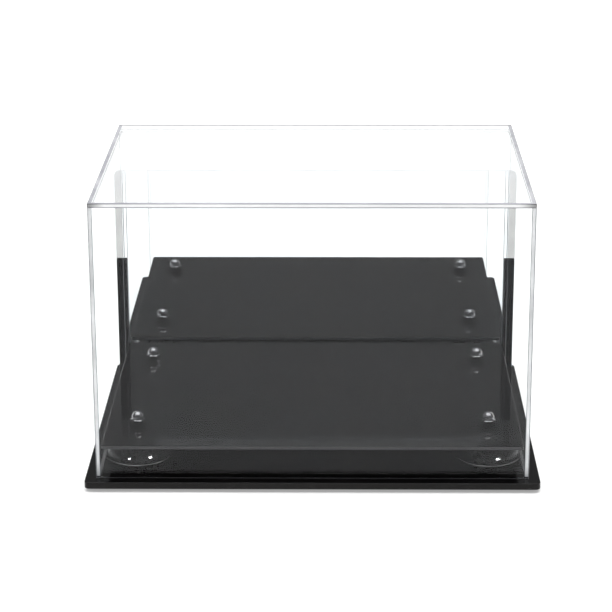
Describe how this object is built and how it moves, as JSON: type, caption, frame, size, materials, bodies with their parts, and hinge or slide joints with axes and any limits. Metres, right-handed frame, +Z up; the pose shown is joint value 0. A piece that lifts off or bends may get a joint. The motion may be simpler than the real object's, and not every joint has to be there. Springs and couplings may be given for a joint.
{
  "type": "collectible display case",
  "caption": "Clear acrylic box cover that lifts off a black base, with a raised black platform on dome risers and an upright mirror behind.",
  "frame": {"origin": "centre of the footprint, on the surface that the bumper feet stand on", "axes": "+X to the right seen from the front, +Y from the front to the mirror behind, +Z up"},
  "size_m": [0.368, 0.287, 0.2386],
  "materials": {
    "black_acrylic": "polished black cast acrylic sheet",
    "clear_acrylic": "clear cast acrylic sheet with flame-polished edges",
    "mirror_acrylic": "silvered acrylic mirror sheet, grey backing paint",
    "riser_plastic": "glossy moulded black plastic",
    "black_nickel": "dark nickel-plated steel",
    "screw_steel": "zinc-plated steel",
    "foot_rubber": "soft black rubber"
  },
  "bodies": {
    "base": {"acorn_nut_back_left": "black_nickel", "acorn_nut_back_right": "black_nickel", "acorn_nut_front_left": "black_nickel", "acorn_nut_front_right": "black_nickel", "base_plate": "black_acrylic", "bumper_foot_back_left": "foot_rubber", "bumper_foot_back_right": "foot_rubber", "bumper_foot_front_left": "foot_rubber", "bumper_foot_front_right": "foot_rubber", "display_platform": "black_acrylic", "mirror_panel": "mirror_acrylic", "mirror_support_left": "black_acrylic", "mirror_support_right": "black_acrylic", "riser_back_left": "riser_plastic", "riser_back_right": "riser_plastic", "riser_front_left": "riser_plastic", "riser_front_right": "riser_plastic", "riser_screw_back_left": "screw_steel", "riser_screw_back_right": "screw_steel", "riser_screw_front_left": "screw_steel", "riser_screw_front_right": "screw_steel"},
    "cover": {"cover_back_panel": "clear_acrylic", "cover_front_panel": "clear_acrylic", "cover_left_panel": "clear_acrylic", "cover_right_panel": "clear_acrylic", "cover_top_panel": "clear_acrylic"}
  },
  "joints": [
    {"name": "cover_lift", "type": "slide", "parent": "base", "child": "cover", "axis": [0, 0, 1], "range_m": [0, 0.2]}
  ]
}
